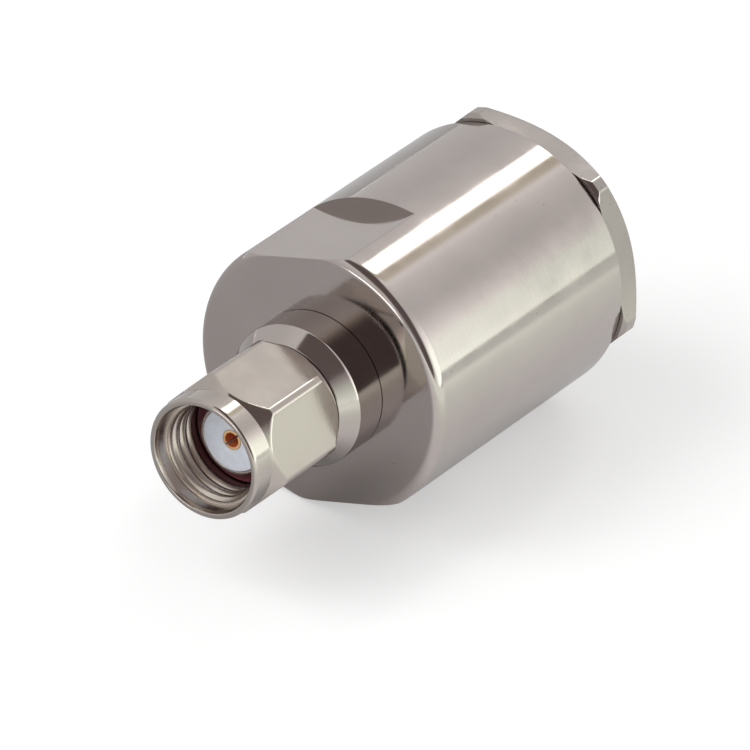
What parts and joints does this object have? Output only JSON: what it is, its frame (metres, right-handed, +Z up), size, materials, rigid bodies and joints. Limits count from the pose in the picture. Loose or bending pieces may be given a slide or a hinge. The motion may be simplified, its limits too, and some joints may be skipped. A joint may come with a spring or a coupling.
{
  "type": "reverse-polarity SMA plug with clamp-type cable body",
  "caption": "Coaxial radio-frequency plug: a free-spinning hexagonal coupling nut round a socket contact, on a wide clamp body for thick coaxial cable.",
  "frame": {"origin": "on the connector's axis, at the inner end of the coupling thread, 0.2 mm ahead of the contact face", "axes": "-Y out of the mating mouth, +Y towards the cable end, +Z up as the part lies on its side"},
  "size_m": [0.0184, 0.034, 0.0176],
  "materials": {
    "nickel_body": "polished nickel plate on brass",
    "nickel_nut": "polished nickel plate on brass",
    "nickel_clamp": "nickel plate on brass, slightly speckled",
    "nickel_inner": "turned nickel plate on brass",
    "spring_ring": "bare spring bronze",
    "silicone_gasket": "dark red silicone rubber",
    "rubber_gasket": "black moulded rubber",
    "ptfe": "white fluoropolymer",
    "gold_contact": "gold plate"
  },
  "bodies": {
    "connector": {"connector_body": "nickel_body", "retaining_ring": "spring_ring", "interface_gasket": "silicone_gasket", "front_insulator": "ptfe", "centre_contact": "gold_contact", "rear_insulator": "ptfe", "braid_clamp": "nickel_inner", "cable_gasket": "rubber_gasket"},
    "coupling": {"coupling_nut": "nickel_nut"},
    "washer": {"slip_washer": "nickel_inner"},
    "clamp": {"clamp_nut": "nickel_clamp"}
  },
  "joints": [
    {"name": "coupling_spin", "type": "hinge", "parent": "connector", "child": "coupling", "pos_m": [0, 0.004, 0], "axis": [0, -1, 0], "continuous": true},
    {"name": "clamp_travel", "type": "slide", "parent": "connector", "child": "washer", "axis": [0, 1, 0], "range_m": [0, 0.00225]},
    {"name": "clamp_turn", "type": "hinge", "parent": "washer", "child": "clamp", "pos_m": [0, 0.025, 0], "axis": [0, 1, 0], "range_deg": [0, 1080]}
  ],
  "couplings": [
    {"joint": "clamp_travel", "follows": "clamp_turn", "m_per_rad": 0.00011937}
  ]
}
